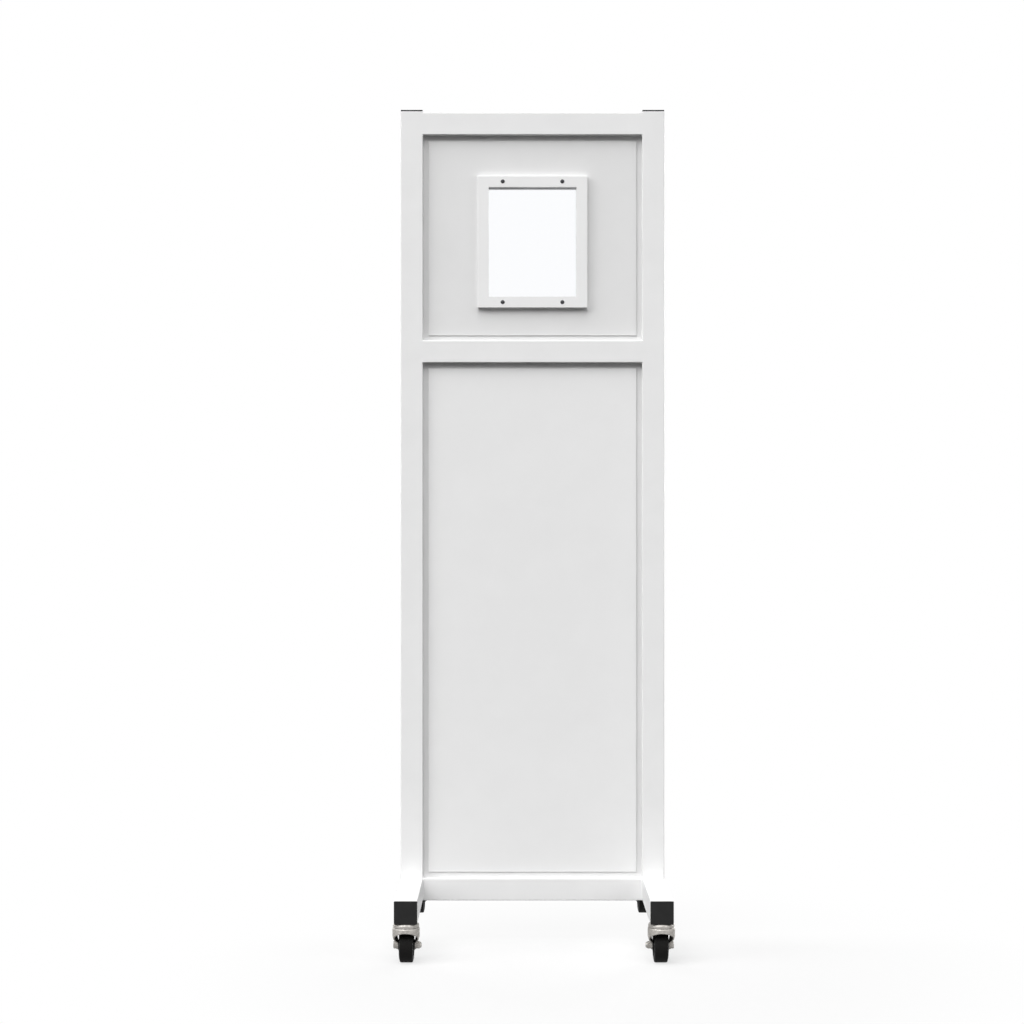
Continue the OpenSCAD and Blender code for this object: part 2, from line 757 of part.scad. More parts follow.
left_post();
right_post();
top_rail();
middle_rail();
bottom_rail();
left_leg();
right_leg();
left_post_cap();
right_post_cap();
front_left_leg_cap();
front_right_leg_cap();
rear_left_leg_cap();
rear_right_leg_cap();
upper_channel();
upper_front_skin();
upper_lead_sheet();
upper_core_board();
upper_rear_skin();
lower_channel();
lower_front_skin();
lower_lead_sheet();
lower_core_board();
lower_rear_skin();
window_front_frame();
window_rear_frame();
glazing_gasket();
lead_glass();
window_screws();
window_sleeve_nuts();
stem_nuts();
swivel_balls();
stem(FRONT_LEFT);  // front_left_stem
stem(FRONT_RIGHT);  // front_right_stem
stem(REAR_LEFT);  // rear_left_stem
stem(REAR_RIGHT);  // rear_right_stem
race(FRONT_LEFT);  // front_left_race
race(FRONT_RIGHT);  // front_right_race
race(REAR_LEFT);  // rear_left_race
race(REAR_RIGHT);  // rear_right_race
fork(FRONT_LEFT);  // front_left_fork
fork(FRONT_RIGHT);  // front_right_fork
fork(REAR_LEFT);  // rear_left_fork
fork(REAR_RIGHT);  // rear_right_fork
axle(FRONT_LEFT);  // front_left_axle
axle(FRONT_RIGHT);  // front_right_axle
axle(REAR_LEFT);  // rear_left_axle
axle(REAR_RIGHT);  // rear_right_axle
axle_nut(FRONT_LEFT);  // front_left_axle_nut
axle_nut(FRONT_RIGHT);  // front_right_axle_nut
axle_nut(REAR_LEFT);  // rear_left_axle_nut
axle_nut(REAR_RIGHT);  // rear_right_axle_nut
wheel(FRONT_LEFT);  // front_left_wheel
wheel(FRONT_RIGHT);  // front_right_wheel
wheel(REAR_LEFT);  // rear_left_wheel
wheel(REAR_RIGHT);  // rear_right_wheel
tyre(FRONT_LEFT);  // front_left_tyre
tyre(FRONT_RIGHT);  // front_right_tyre
tyre(REAR_LEFT);  // rear_left_tyre
tyre(REAR_RIGHT);  // rear_right_tyre
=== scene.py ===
# %% [markdown]
# A mobile lead barrier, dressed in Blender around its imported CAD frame.
# The real object is a welded frame of square steel tube on four swivel casters. It carries two
# lead-lined panels, and the upper one has a small lead-glass window. The CAD holds every solid piece at its
# real size, so this lesson adds what the CAD leaves out: the finish of each surface, the weld beads,
# the nylon rings in the lock nuts, the light, the floor and the camera.

# %% Load the frame and keep its box
import math

import bmesh
import bpy
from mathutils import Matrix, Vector


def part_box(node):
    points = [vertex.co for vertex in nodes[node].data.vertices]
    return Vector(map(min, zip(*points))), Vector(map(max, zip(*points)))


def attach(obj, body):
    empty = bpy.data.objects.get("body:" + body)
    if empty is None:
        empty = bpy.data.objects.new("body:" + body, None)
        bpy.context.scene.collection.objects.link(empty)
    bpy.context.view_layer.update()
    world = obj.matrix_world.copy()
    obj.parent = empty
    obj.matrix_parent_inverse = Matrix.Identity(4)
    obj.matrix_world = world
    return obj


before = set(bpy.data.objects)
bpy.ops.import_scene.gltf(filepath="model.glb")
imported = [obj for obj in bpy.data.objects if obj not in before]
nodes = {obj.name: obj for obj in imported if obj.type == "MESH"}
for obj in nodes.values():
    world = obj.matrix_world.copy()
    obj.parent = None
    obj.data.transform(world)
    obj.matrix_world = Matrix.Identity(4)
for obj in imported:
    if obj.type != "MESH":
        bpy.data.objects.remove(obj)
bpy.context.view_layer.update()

# %% [markdown]
# Everything is in metres, and sizes of small things are easier to read in millimetres, so MM turns
# one into the other. Colours are written as sRGB hex values, as a paint shop or a screen gives them.
# Blender's shaders work with linear light, so one function turns the hex value to linear.

# %% Units and colours
MM = 0.001
CORNERS = ("front_left", "front_right", "rear_left", "rear_right")


def linear(hex_colour):
    """The linear colour of an sRGB hex value such as #E4E4E4."""
    channels = [int(hex_colour[i:i + 2], 16) / 255 for i in (1, 3, 5)]
    return [c / 12.92 if c <= 0.04045 else ((c + 0.055) / 1.055) ** 2.4 for c in channels] + [1]


def pattern_scale(size_mm):
    """The scale at which a noise or cell pattern has features of about this size."""
    return 1 / (size_mm * MM)


def ring_scale(spacing_mm):
    """The scale at which a wave pattern repeats at this spacing. Blender's waves are tau / 20 long."""
    return math.tau / 20 * pattern_scale(spacing_mm)


print("mid grey in linear light:", round(linear("#808080")[0], 3))

# %% [markdown]
# A material is a small tree of nodes. One helper adds any node: its settings, and its inputs, which are
# either a value or the output of another node. Each material below is then a short list of such lines.
# Inputs that share one title are named by their number: 0 and 1 are the values of a math node, 1 and 2
# the shaders of a shader mix, and 2 and 3 the numbers of a plain mix, whose result is output 0.

# %% Node helpers
def new_tree(name):
    """An empty material of this name, and its node tree."""
    material = bpy.data.materials.new(name)
    material.use_nodes = True
    material.node_tree.nodes.clear()
    return material, material.node_tree


def add(tree, kind, inputs=None, **settings):
    """Adds a node. An input is named by its title or number, and takes a value or a socket."""
    node = tree.nodes.new("ShaderNode" + kind)
    for name, value in settings.items():
        setattr(node, name, value)
    for name, value in (inputs or {}).items():
        if isinstance(value, bpy.types.NodeSocket):
            tree.links.new(value, node.inputs[name])
        else:
            node.inputs[name].default_value = value
    return node


def set_ramp(node, stops):
    """Gives a Color Ramp its stops, a list of (position, hex colour)."""
    elements = node.color_ramp.elements
    while len(elements) < len(stops):
        elements.new(1)
    for element, (position, hex_colour) in zip(elements, stops):
        element.position = position
        element.color = linear(hex_colour)


def object_point(tree, centre=(0, 0, 0), turn=(0, 0, 0)):
    """A point of the piece, measured from the centre that a pattern is laid round.

    With a turn, the mapping undoes it after moving to the centre, so the pattern's axes are turned.
    """
    place = add(tree, "TexCoord")
    mapping = add(tree, "Mapping", {"Vector": place.outputs["Object"]})
    if any(turn):
        mapping.vector_type = "TEXTURE"
        mapping.inputs["Location"].default_value = centre
        mapping.inputs["Rotation"].default_value = turn
    else:
        mapping.inputs["Location"].default_value = [-c for c in centre]
    return mapping.outputs["Vector"]


# Most values of a noise pattern lie between these two, so colours and roughness are spread over them.
NOISE_LOW = 0.3
NOISE_HIGH = 0.7
print("noise is read from", NOISE_LOW, "to", NOISE_HIGH)

# %% [markdown]
# The frame, the channels, the panels and the window frame are all powder coated white. Powder is sprayed
# on dry and melts in an oven, so it flows into a skin with a shallow orange peel, a ripple of about 2 mm, and
# it is a little thicker in some places than in others. A bump node gives the ripple, and slow noise
# moves the colour and the roughness by a few hundredths. Real ripples could be modelled, but they are
# only a few hundredths of a millimetre deep, which is work for bump. One function makes all five coats.
# The channels' coat is darker than the frame's: painted shade, for the shade in the recesses between
# the tubes and the panels where the channels sit. The upper sheet's coat is darker than the lower one's:
# painted shade, for the long soft shade under the top rail that the lamps give only in part. So they have
# coats of their own.

# %% Powder coats
GLOSS_DRIFT = 0.05


def powder_coat(name, pale, shade, roughness, peel_mm, peel_depth_mm):
    """White powder coat: a melted skin with orange peel, slightly uneven in tone and gloss."""
    material, tree = new_tree(name)
    point = object_point(tree)
    film = add(tree, "TexNoise", {"Vector": point, "Scale": pattern_scale(70), "Detail": 3})
    tone = add(tree, "ValToRGB", {"Fac": film.outputs["Fac"]})
    set_ramp(tone, [(NOISE_LOW, shade), (NOISE_HIGH, pale)])
    rubbed = add(tree, "TexNoise", {"Vector": point, "Scale": pattern_scale(25), "Detail": 5})
    gloss = add(tree, "MapRange", {"Value": rubbed.outputs["Fac"], "From Min": NOISE_LOW,
                                   "From Max": NOISE_HIGH, "To Min": roughness - GLOSS_DRIFT,
                                   "To Max": roughness + GLOSS_DRIFT})
    peel = add(tree, "TexNoise", {"Vector": point, "Scale": pattern_scale(peel_mm), "Detail": 2})
    ripple = add(tree, "Bump", {"Height": peel.outputs["Fac"], "Strength": 0.5,
                                "Distance": peel_depth_mm * MM})
    coat = add(tree, "BsdfPrincipled", {"Base Color": tone.outputs["Color"], "IOR": 1.5,
                                        "Roughness": gloss.outputs["Result"],
                                        "Normal": ripple.outputs["Normal"]})
    add(tree, "OutputMaterial", {"Surface": coat.outputs["BSDF"]})
    return material


frame_coat = powder_coat("powder_coated_steel_tube", "#E6E6E6", "#E3E3E3", 0.40, 2.2, 0.03)
# Painted shade: the channels are darker than the frame, for the shade in their recesses.
channel_coat = powder_coat("powder_coated_steel_channel_painted_shade", "#D8D8D8", "#D5D5D5", 0.42, 2.2, 0.03)
panel_coat = powder_coat("satin_powder_coated_aluminium_sheet", "#E4E4E4", "#E2E2E2", 0.52, 1.2, 0.015)
# Painted shade: the upper sheet is darker than the lower one, for the shade under the top rail.
upper_panel_painted_shade_coat = powder_coat("satin_powder_coated_upper_sheet_painted_shade", "#DBDBDB", "#D9D9D9", 0.52, 1.2, 0.015)
window_coat = powder_coat("satin_powder_coated_aluminium_bar", "#E7E7E7", "#E5E5E5", 0.48, 1.6, 0.02)
coats = (frame_coat, channel_coat, panel_coat, upper_panel_painted_shade_coat, window_coat)
print("powder coats:", [coat.name for coat in coats])

# %% [markdown]
# The tube caps are moulded black polyethylene. The mould was spark eroded, so the surface has a fine even
# grain that spreads the light, and handling polishes it in patches. Cell noise gives the grain.

# %% Cap plastic
def moulded_polyethylene():
    """Black cap plastic: spark-eroded grain of about 0.6 mm, drawn at 0.8 mm so that it shows."""
    material, tree = new_tree("moulded_black_polyethylene")
    point = object_point(tree)
    worn = add(tree, "TexNoise", {"Vector": point, "Scale": pattern_scale(18), "Detail": 4})
    tone = add(tree, "ValToRGB", {"Fac": worn.outputs["Fac"]})
    set_ramp(tone, [(0.35, "#121212"), (0.7, "#171717")])
    gloss = add(tree, "MapRange", {"Value": worn.outputs["Fac"], "From Min": NOISE_LOW,
                                   "From Max": NOISE_HIGH, "To Min": 0.42, "To Max": 0.54})
    grain = add(tree, "TexVoronoi", {"Vector": point, "Scale": pattern_scale(0.8)})
    pits = add(tree, "Bump", {"Height": grain.outputs["Distance"], "Strength": 0.4,
                              "Distance": 0.04 * MM})
    plastic = add(tree, "BsdfPrincipled", {"Base Color": tone.outputs["Color"], "IOR": 1.51,
                                           "Specular IOR Level": 0.22,
                                           "Roughness": gloss.outputs["Result"],
                                           "Normal": pits.outputs["Normal"]})
    add(tree, "OutputMaterial", {"Surface": plastic.outputs["BSDF"]})
    return material


cap_plastic = moulded_polyethylene()
print("cap plastic:", cap_plastic.name)

# %% [markdown]
# The casters are pressed from steel sheet and zinc plated. The plating dries to a pale, slightly warm grey
# metal with cloudy patches a few millimetres across, some bright and some dull, which is what tells it from
# chrome or stainless steel. Pressing and tumbling also leave faint rings round the swivel axis, so
# the pattern is centred on each caster's own stem. The bolts and nuts have the same plating.

# %% Zinc plating
CELL_SHARE = 0.15
RING_SHARE = 0.3
PATCH_LOW = 0.25
PATCH_HIGH = 0.65


def zinc_plate(name, centre):
    """Zinc plated steel: cloudy, with faint rings about the given vertical axis."""
    material, tree = new_tree(name)
    point = object_point(tree, centre)
    cloud = add(tree, "TexNoise", {"Vector": point, "Scale": pattern_scale(7), "Detail": 4,
                                   "Roughness": 0.6})
    cells = add(tree, "TexVoronoi", {"Vector": point, "Scale": pattern_scale(4)})
    patch = add(tree, "Mix", {"Factor": CELL_SHARE, 2: cloud.outputs["Fac"], 3: cells.outputs["Distance"]})
    tone = add(tree, "ValToRGB", {"Fac": patch.outputs[0]})
    patch_middle = (PATCH_LOW + PATCH_HIGH) / 2
    set_ramp(tone, [(PATCH_LOW, "#8A8783"), (patch_middle, "#9A9793"), (PATCH_HIGH, "#A9A6A2")])
    gloss = add(tree, "MapRange", {"Value": patch.outputs[0], "From Min": PATCH_LOW,
                                   "From Max": PATCH_HIGH, "To Min": 0.66, "To Max": 0.54})
    rings = add(tree, "TexWave", {"Vector": point, "Scale": ring_scale(1.2), "Distortion": 0.6,
                                  "Detail": 2}, wave_type="RINGS", rings_direction="Z")
    relief = add(tree, "Mix", {"Factor": RING_SHARE, 2: cloud.outputs["Fac"], 3: rings.outputs["Fac"]})
    marks = add(tree, "Bump", {"Height": relief.outputs[0], "Strength": 0.35, "Distance": 0.05 * MM})
    metal = add(tree, "BsdfPrincipled", {"Base Color": tone.outputs["Color"], "Metallic": 1,
                                         "Roughness": gloss.outputs["Result"],
                                         "Normal": marks.outputs["Normal"]})
    add(tree, "OutputMaterial", {"Surface": metal.outputs["BSDF"]})
    return material


def middle(node):
    """The centre of a CAD node's box."""
    low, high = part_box(node)
    return (low + high) / 2


zinc = {}
for corner in CORNERS:
    zinc[corner] = zinc_plate(f"zinc_plated_steel_{corner}", middle(f"{corner}_stem"))
print("zinc plating on", len(zinc), "casters")

# %% [markdown]
# The window screws and their sleeve nuts are steel with a dark oxide film, oiled, a grey that is nearly black
# where it is thick. The balls in the casters are hard polished steel. Both are metals, so the colour
# tints the reflection and the roughness decides how sharp it is.

# %% Screws and balls
ROUGHER_WHERE_DEEP = 1.25
SMOOTHER_WHERE_BRIGHT = 0.8


def small_steel(name, deep, bright, roughness, cloud_mm):
    """Plain or oxidised steel with a slightly uneven film."""
    material, tree = new_tree(name)
    point = object_point(tree)
    film = add(tree, "TexNoise", {"Vector": point, "Scale": pattern_scale(cloud_mm), "Detail": 4})
    tone = add(tree, "ValToRGB", {"Fac": film.outputs["Fac"]})
    set_ramp(tone, [(NOISE_LOW, deep), (NOISE_HIGH, bright)])
    gloss = add(tree, "MapRange", {"Value": film.outputs["Fac"], "From Min": NOISE_LOW,
                                   "From Max": NOISE_HIGH, "To Min": roughness * ROUGHER_WHERE_DEEP,
                                   "To Max": roughness * SMOOTHER_WHERE_BRIGHT})
    metal = add(tree, "BsdfPrincipled", {"Base Color": tone.outputs["Color"], "Metallic": 1,
                                         "Roughness": gloss.outputs["Result"]})
    add(tree, "OutputMaterial", {"Surface": metal.outputs["BSDF"]})
    return material


dark_screw = small_steel("dark_oxide_steel", "#343436", "#434345", 0.38, 2.5)
ball_steel = small_steel("polished_bearing_steel", "#B9B9BA", "#C9C9CA", 0.09, 3)
print("small steel:", dark_screw.name, ball_steel.name)

# %% [markdown]
# The tyre is black rubber, moulded in two halves and then rolled on floors, so its tread is dull and holds
# a little grey dust while its flanks stay darker. The wheel body is moulded polypropylene with a soft
# sheen. Both are round, so their patterns are laid round the axle: turned so that the pattern's own Z
# axis is the axle, and centred on it.

# %% Tyres and wheels
DUST_DEPTH = 3 * MM
DUST_SHARE = 0.6
ALONG_AXLE = (0, math.pi / 2, 0)


def tyre_rubber(name, centre, tread_r):
    """Black rubber with a fine matt grain, dusty where it meets the floor."""
    material, tree = new_tree(name)
    point = object_point(tree, centre, ALONG_AXLE)
    along = add(tree, "SeparateXYZ", {"Vector": point})
    flat = add(tree, "CombineXYZ", {"X": along.outputs["X"], "Y": along.outputs["Y"]})
    reach = add(tree, "VectorMath", {0: flat.outputs["Vector"]}, operation="LENGTH")
    dust_noise = add(tree, "TexNoise", {"Vector": point, "Scale": pattern_scale(9), "Detail": 5})
    tread = add(tree, "MapRange", {"Value": reach.outputs["Value"], "From Min": tread_r - DUST_DEPTH,
                                   "From Max": tread_r, "To Min": 0.0, "To Max": DUST_SHARE})
    dust = add(tree, "Math", {0: tread.outputs["Result"], 1: dust_noise.outputs["Fac"]},
               operation="MULTIPLY")
    tone = add(tree, "ValToRGB", {"Fac": dust.outputs["Value"]})
    set_ramp(tone, [(0.0, "#0A0A0A"), (DUST_SHARE, "#171615")])
    grain = add(tree, "TexNoise", {"Vector": point, "Scale": pattern_scale(0.7), "Detail": 2})
    skin = add(tree, "Bump", {"Height": grain.outputs["Fac"], "Strength": 0.5, "Distance": 0.06 * MM})
    gloss = add(tree, "MapRange", {"Value": dust_noise.outputs["Fac"], "To Min": 0.55, "To Max": 0.75})
    rubber = add(tree, "BsdfPrincipled", {"Base Color": tone.outputs["Color"], "IOR": 1.52,
                                          "Specular IOR Level": 0.1,
                                          "Roughness": gloss.outputs["Result"],
                                          "Normal": skin.outputs["Normal"]})
    add(tree, "OutputMaterial", {"Surface": rubber.outputs["BSDF"]})
    return material


def wheel_plastic(name, centre):
    """Moulded polypropylene: black, with a soft sheen and faint turning rings from the mould."""
    material, tree = new_tree(name)
    point = object_point(tree, centre, ALONG_AXLE)
    flow = add(tree, "TexNoise", {"Vector": point, "Scale": pattern_scale(12), "Detail": 3})
    tone = add(tree, "ValToRGB", {"Fac": flow.outputs["Fac"]})
    set_ramp(tone, [(NOISE_LOW, "#131313"), (NOISE_HIGH, "#191919")])
    rings = add(tree, "TexWave", {"Vector": point, "Scale": ring_scale(0.9)},
                wave_type="RINGS", rings_direction="Z")
    turning = add(tree, "Bump", {"Height": rings.outputs["Fac"], "Strength": 0.2,
                                 "Distance": 0.03 * MM})
    gloss = add(tree, "MapRange", {"Value": flow.outputs["Fac"], "From Min": NOISE_LOW,
                                   "From Max": NOISE_HIGH, "To Min": 0.34, "To Max": 0.46})
    plastic = add(tree, "BsdfPrincipled", {"Base Color": tone.outputs["Color"], "IOR": 1.49,
                                           "Specular IOR Level": 0.3,
                                           "Roughness": gloss.outputs["Result"],
                                           "Normal": turning.outputs["Normal"]})
    add(tree, "OutputMaterial", {"Surface": plastic.outputs["BSDF"]})
    return material


tyres = {}
wheels = {}
for corner in CORNERS:
    axle_centre = middle(f"{corner}_tyre")
    tyre_low, tyre_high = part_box(f"{corner}_tyre")
    tread_radius = (tyre_high.z - tyre_low.z) / 2
    tyres[corner] = tyre_rubber(f"black_rubber_{corner}", axle_centre, tread_radius)
    wheels[corner] = wheel_plastic(f"moulded_polypropylene_{corner}", axle_centre)
print("tyre radius", round(tread_radius / MM, 1), "mm")

# %% [markdown]
# Lead glass is dense and polished, with a high refractive index of about 1.8 and a very faint cool tint.
# It is drawn as real glass with two faces, so what lies behind it shows through. Long shallow waves
# and a slight haze of cleaning marks keep it from looking like a hole in the panel.

# %% Lead glass
def lead_glass_material():
    """Polished lead glass: high refractive index, faint cool tint, almost no haze."""
    material, tree = new_tree("polished_lead_glass")
    point = object_point(tree)
    wiped = add(tree, "TexNoise", {"Vector": point, "Scale": pattern_scale(40), "Detail": 4})
    haze = add(tree, "MapRange", {"Value": wiped.outputs["Fac"], "From Min": 0.4, "From Max": 0.8,
                                  "To Min": 0.0, "To Max": 0.03})
    waves = add(tree, "TexNoise", {"Vector": point, "Scale": pattern_scale(60), "Detail": 0})
    polish = add(tree, "Bump", {"Height": waves.outputs["Fac"], "Strength": 0.2, "Distance": 0.02 * MM})
    glass = add(tree, "BsdfPrincipled", {"Base Color": linear("#FBFCFE"), "IOR": 1.8,
                                         "Transmission Weight": 1,
                                         "Roughness": haze.outputs["Result"],
                                         "Normal": polish.outputs["Normal"]})
    add(tree, "OutputMaterial", {"Surface": glass.outputs["BSDF"]})
    return material


lead_glass = lead_glass_material()
print("window pane:", lead_glass.name)

# %% [markdown]
# Three finishes hide inside the closed panels: rolled lead, a plywood core and the silicone gasket round
# the glass, which shows only as a pale line in the window's reveal. They matter when someone takes the
# part to pieces. Plywood grain runs along its length, so its pattern is stretched along Z, and so are
# the roll marks of the lead.

# %% Hidden layers
LONG_ROLL_MARKS = (1, 1, 0.04)
LONG_WOOD_GRAIN = (1, 1, 0.06)


def rolled_lead():
    """Rolled lead sheet: a dull blue-grey metal with long roll marks and a patchy oxide."""
    material, tree = new_tree("rolled_lead_sheet")
    point = object_point(tree)
    long = add(tree, "VectorMath", {0: point, 1: LONG_ROLL_MARKS}, operation="MULTIPLY")
    marks = add(tree, "TexNoise", {"Vector": long.outputs["Vector"], "Scale": pattern_scale(4), "Detail": 3})
    oxide = add(tree, "TexNoise", {"Vector": point, "Scale": pattern_scale(30), "Detail": 5})
    tone = add(tree, "ValToRGB", {"Fac": oxide.outputs["Fac"]})
    set_ramp(tone, [(NOISE_LOW, "#8A8D92"), (NOISE_HIGH, "#A0A4AA")])
    roll = add(tree, "Bump", {"Height": marks.outputs["Fac"], "Strength": 0.3, "Distance": 0.05 * MM})
    metal = add(tree, "BsdfPrincipled", {"Base Color": tone.outputs["Color"], "Metallic": 1,
                                         "Roughness": 0.55, "Normal": roll.outputs["Normal"]})
    add(tree, "OutputMaterial", {"Surface": metal.outputs["BSDF"]})
    return material


def birch_plywood():
    """Sanded birch plywood with the grain running up the board."""
    material, tree = new_tree("sanded_birch_plywood")
    point = object_point(tree)
    long = add(tree, "VectorMath", {0: point, 1: LONG_WOOD_GRAIN}, operation="MULTIPLY")
    grain = add(tree, "TexNoise", {"Vector": long.outputs["Vector"], "Scale": pattern_scale(6), "Detail": 6})
    tone = add(tree, "ValToRGB", {"Fac": grain.outputs["Fac"]})
    set_ramp(tone, [(0.35, "#C9A878"), (0.65, "#DFC59A")])
    pores = add(tree, "Bump", {"Height": grain.outputs["Fac"], "Strength": 0.3, "Distance": 0.1 * MM})
    wood = add(tree, "BsdfPrincipled", {"Base Color": tone.outputs["Color"], "IOR": 1.5,
                                        "Roughness": 0.68, "Normal": pores.outputs["Normal"]})
    add(tree, "OutputMaterial", {"Surface": wood.outputs["BSDF"]})
    return material


def extruded_silicone():
    """Extruded pale silicone rubber: matt, with fine lines along the extrusion."""
    material, tree = new_tree("extruded_pale_silicone")
    point = object_point(tree)
    lines = add(tree, "TexNoise", {"Vector": point, "Scale": pattern_scale(1.5), "Detail": 2})
    tone = add(tree, "ValToRGB", {"Fac": lines.outputs["Fac"]})
    set_ramp(tone, [(NOISE_LOW, "#D3D5D5"), (NOISE_HIGH, "#DEDFDF")])
    skin = add(tree, "Bump", {"Height": lines.outputs["Fac"], "Strength": 0.4, "Distance": 0.05 * MM})
    rubber = add(tree, "BsdfPrincipled", {"Base Color": tone.outputs["Color"], "IOR": 1.52,
                                          "Roughness": 0.7, "Normal": skin.outputs["Normal"]})
    add(tree, "OutputMaterial", {"Surface": rubber.outputs["BSDF"]})
    return material


hidden_layers = {"lead_sheet": rolled_lead(), "core_board": birch_plywood(),
                 "gasket_rubber": extruded_silicone()}
print("hidden layers:", sorted(hidden_layers))

# %% [markdown]
# Each CAD node already carries a material slot with a name from the part's record. The dressing goes by
# that name, except on the casters, where zinc, tyres and wheels have one material a corner because
# their patterns are centred on that corner's axes. The mesh of a CAD node is never touched.

# %% Dress the CAD nodes
PLAIN_FINISHES = {
    "frame_coat": frame_coat,
    "channel_coat": channel_coat,
    "panel_coat": panel_coat,
    "window_coat": window_coat,
    "cap_plastic": cap_plastic,
    "lead_glass": lead_glass,
    "dark_screw": dark_screw,
    "ball_steel": ball_steel,
    **hidden_layers,
}
CORNER_FINISHES = {"zinc_plate": zinc, "tyre_rubber": tyres, "wheel_plastic": wheels}


def finish_for(node_name, slot_name):
    """The material for a slot of a CAD node. The stem nuts, one node for all corners, take the first."""
    # The upper sheets take the darker coat with painted shade.
    if slot_name == "panel_coat" and node_name.startswith("upper"):
        return upper_panel_painted_shade_coat
    if slot_name in PLAIN_FINISHES:
        return PLAIN_FINISHES[slot_name]
    by_corner = CORNER_FINISHES[slot_name]
    for corner in CORNERS:
        if node_name.startswith(corner):
            return by_corner[corner]
    return by_corner[CORNERS[0]]


dressed = {}
for name, node in nodes.items():
    for slot in node.material_slots:
        slot_name = slot.material.name.split(".")[0]
        slot.material = finish_for(name, slot_name)
        dressed[slot_name] = dressed.get(slot_name, 0) + 1
print("nodes a finish:", dressed)

# %% [markdown]
# The frame is welded. The flat joints are ground flush, but where two tubes meet in a corner a small fillet
# bead stays, laid in overlapping scales and then painted over with the powder coat. A bead could be a bump
# pattern, but its edge against the tube is what the eye finds, so it is real geometry. It starts as a
# round bar along X. Code can select by place, as the mouse would on the screen, so two small functions
# pick the vertices of one ring, and the edges that run along the bar.

# %% A round bar to make a bead from
BEAD_LEG = 2.6 * MM
BEAD_SIDES = 16


def select_verts(mesh, wanted):
    """Selects only the vertices for which wanted(place) is true, in edit mode."""
    edit = bmesh.from_edit_mesh(mesh)
    for vert in edit.verts:
        vert.select = wanted(vert.co)
    edit.select_flush(True)
    bmesh.update_edit_mesh(mesh)


def select_long_edges(mesh, length):
    """Selects only the edges that run from one end of the bar to the other, in edit mode."""
    bpy.ops.mesh.select_mode(type="EDGE")
    edit = bmesh.from_edit_mesh(mesh)
    for edge in edit.edges:
        edge.select = abs(edge.verts[0].co.x - edge.verts[1].co.x) > length / 2
    bmesh.update_edit_mesh(mesh)


def round_bar(name, length):
    """A bar along X about the origin, left in edit mode."""
    bpy.ops.object.select_all(action="DESELECT")
    bpy.ops.mesh.primitive_cylinder_add(vertices=BEAD_SIDES, radius=BEAD_LEG, depth=length,
                                        rotation=(0, math.pi / 2, 0))
    bar = bpy.context.object
    bar.name = name
    bpy.ops.object.transform_apply(location=False, rotation=True, scale=False)
    bpy.ops.object.mode_set(mode="EDIT")
    return bar


print("beads start as bars of", round(BEAD_LEG / MM, 1), "mm radius with", BEAD_SIDES, "sides")

# %% [markdown]
# The bar is cut into rings, two for each scale of the weld. The rings swell and shrink in turn, as the
# weld pool did, and the two at the ends are drawn in. Two cuts then leave the quarter of the bar that
# lies in the corner. Posts, rail and opening corners need three lengths, measured between the round
# edges of the tubes.

# %% Model the weld beads
SCALE_PITCH = 2.4 * MM
SWELL_ON_CREST = 1.0
SWELL_BETWEEN = 0.82
SWELL_AT_END = 0.35
MERGE_WITHIN = 0.001 * MM
SMOOTH_BELOW = math.radians(50)
TUBE_CORNER = 1.8 * MM


def swell_rings(mesh, length, rings):
    """Sizes the rings about the bar's axis, in edit mode."""
    for ring in range(rings + 1):
        ring_x = -length / 2 + length * ring / rings
        select_verts(mesh, lambda place: abs(place.x - ring_x) < SCALE_PITCH / 10)
        swell = SWELL_ON_CREST if ring % 2 else SWELL_BETWEEN
        if ring in (0, rings):
            swell = SWELL_AT_END
        bpy.ops.transform.resize(value=(1, swell, swell), center_override=(ring_x, 0, 0))


def weld_bead(name, length):
    """A fillet bead along X about the origin, in the corner between +Z and -Y."""
    bead = round_bar(name, length)
    select_long_edges(bead.data, length)
    rings = max(2, round(length / SCALE_PITCH) * 2)
    bpy.ops.mesh.subdivide(number_cuts=rings - 1)
    bpy.ops.mesh.select_mode(type="VERT")
    swell_rings(bead.data, length, rings)
    for cut in ((0, 1, 0), (0, 0, -1)):
        bpy.ops.mesh.select_all(action="SELECT")
        bpy.ops.mesh.bisect(plane_co=(0, 0, 0), plane_no=cut, use_fill=True, clear_outer=True)
    bpy.ops.mesh.select_all(action="SELECT")
    bpy.ops.mesh.remove_doubles(threshold=MERGE_WITHIN)
    bpy.ops.mesh.normals_make_consistent(inside=False)
    bpy.ops.object.mode_set(mode="OBJECT")
    bpy.ops.object.shade_smooth_by_angle(angle=SMOOTH_BELOW)
    bead.data.materials.append(frame_coat)
    print(name, "has", len(bead.data.polygons), "faces")
    return bead


post_low, post_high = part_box("left_post")
rail_low, rail_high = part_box("bottom_rail")
channel_low, channel_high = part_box("lower_channel")
corner_gap = channel_low.y - post_low.y - TUBE_CORNER
post_bead = weld_bead("post_bead", post_high.x - post_low.x - 2 * TUBE_CORNER)
rail_bead = weld_bead("rail_bead", rail_high.z - rail_low.z - 2 * TUBE_CORNER)
corner_bead = weld_bead("corner_bead", corner_gap)

# %% [markdown]
# The bead is then copied to every corner that keeps one: in front of and behind each post's foot, in the
# upright corners between the bottom rail and the legs, and in the corners of the two openings, in front
# of and behind the channel. Each copy has its own mesh, turned into its corner and moved
# in the mesh itself, so the object stays at the origin like a CAD node.

# %% Lay the beads
def lay_copy(model, name, axes, place):
    """Copies a piece. Its own X, Y and Z then point along the three given axes, at the given place."""
    copy = bpy.data.objects.new(name, model.data.copy())
    bpy.context.collection.objects.link(copy)
    for vert in copy.data.vertices:
        x, y, z = vert.co
        vert.co = Vector(axes[0]) * x + Vector(axes[1]) * y + Vector(axes[2]) * z + Vector(place)
    turned_over = Vector(axes[0]).cross(Vector(axes[1])).dot(Vector(axes[2])) < 0
    if turned_over:
        copy.data.flip_normals()
    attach(copy, "frame")
    return copy


